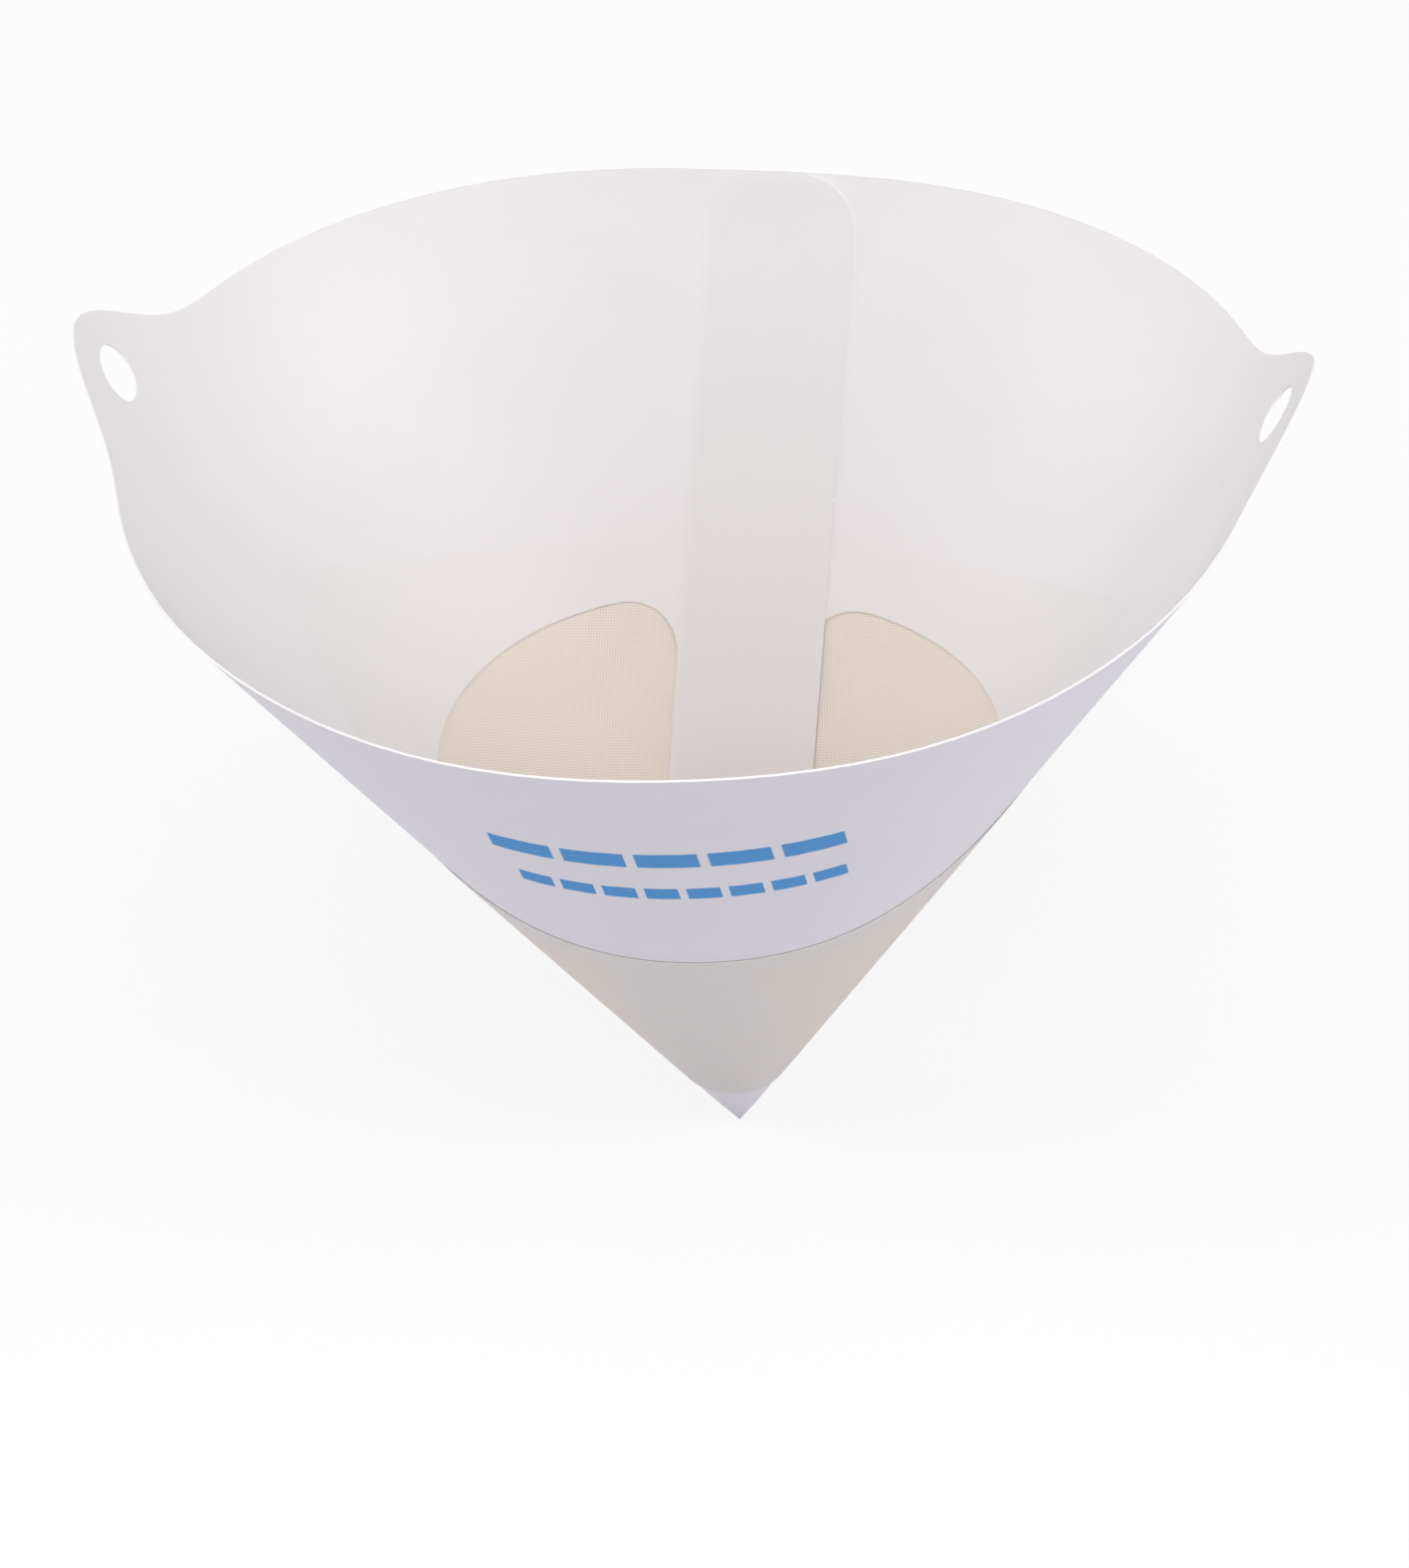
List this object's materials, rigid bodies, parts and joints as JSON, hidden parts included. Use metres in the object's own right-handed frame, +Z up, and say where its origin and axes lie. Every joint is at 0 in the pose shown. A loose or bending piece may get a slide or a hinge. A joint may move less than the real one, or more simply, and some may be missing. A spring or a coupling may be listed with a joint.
{
  "type": "mesh strainer cone",
  "caption": "Folded paper strainer cone with two punched hanging ears, a glued seam and a fine mesh over its windows.",
  "frame": {"origin": "On the cone's axis, in the plane where a level cup mouth of 88.6 mm holds the cone, 79 mm above the inner tip.", "axes": "+Z up out of the open mouth, -Z to the tip, X through the two ears, -Y to the tall front panel, +Y to the glued seam."},
  "size_m": [0.149, 0.1294, 0.1332],
  "materials": {
    "paper": "uncoated white card paper, matt, a faint warm tint",
    "gauze": "fine beige strainer gauze, matt"
  },
  "bodies": {
    "root": {"paper_cone": "paper", "mesh_gauze": "gauze"}
  },
  "joints": []
}
